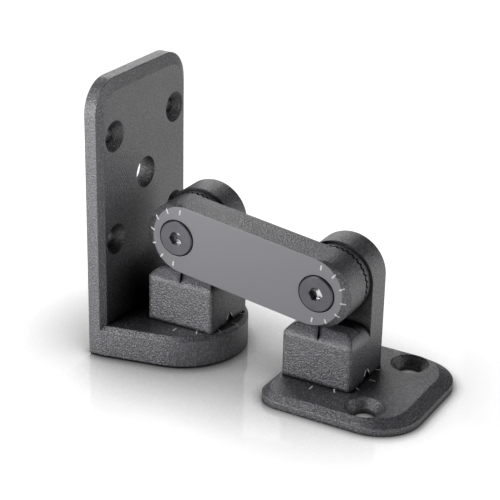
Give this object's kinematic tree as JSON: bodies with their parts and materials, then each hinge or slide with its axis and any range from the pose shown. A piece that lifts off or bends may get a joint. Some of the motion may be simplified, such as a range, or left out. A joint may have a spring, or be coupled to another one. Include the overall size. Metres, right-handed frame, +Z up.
{
  "type": "speaker wall bracket",
  "caption": "Cast wall bracket for a small loudspeaker, with toothed tilt joints and swivelling posts joined by an arm.",
  "frame": {"origin": "centre of the four wall holes, on the face of the bracket that lies against the wall", "axes": "+X out of the wall towards the speaker plate, +Y across the bracket's width, away from the arm's side, +Z up"},
  "size_m": [0.1607, 0.0734, 0.1333],
  "materials": {
    "casting": "fine-textured dark grey powder coat",
    "arm_casting": "fine-textured dark grey powder coat with a smoother satin front face",
    "black_screw": "blackened steel, satin",
    "zinc_washer": "bright zinc plate",
    "nylon_washer": "black nylon"
  },
  "bodies": {
    "wall_bracket": {"wall_bracket": "casting"},
    "wall_post": {"wall_post": "casting", "wall_tilt_screw": "black_screw", "wall_swivel_screw": "black_screw", "wall_spring_washer": "zinc_washer", "wall_flat_washer": "zinc_washer", "wall_thrust_washer": "nylon_washer"},
    "arm": {"arm": "arm_casting"},
    "speaker_post": {"speaker_post": "casting", "speaker_tilt_screw": "black_screw", "speaker_swivel_screw": "black_screw", "speaker_thrust_washer": "nylon_washer"},
    "speaker_plate": {"speaker_plate": "casting"}
  },
  "joints": [
    {"name": "swivel_wall", "type": "hinge", "parent": "wall_bracket", "child": "wall_post", "pos_m": [0.0371, 0, -0.0658], "axis": [0, 0, 1], "range_deg": [-90, 90]},
    {"name": "tilt_wall", "type": "hinge", "parent": "wall_post", "child": "arm", "pos_m": [0.0371, 0, -0.0201], "axis": [0, 1, 0], "range_deg": [-100, 0]},
    {"name": "tilt_speaker", "type": "hinge", "parent": "arm", "child": "speaker_post", "pos_m": [0.10904, 0, -0.0299], "axis": [0, 1, 0], "range_deg": [-140, 0]},
    {"name": "swivel_speaker", "type": "hinge", "parent": "speaker_post", "child": "speaker_plate", "pos_m": [0.10904, 0, -0.0756], "axis": [0, 0, 1], "range_deg": [-85, 85]}
  ]
}
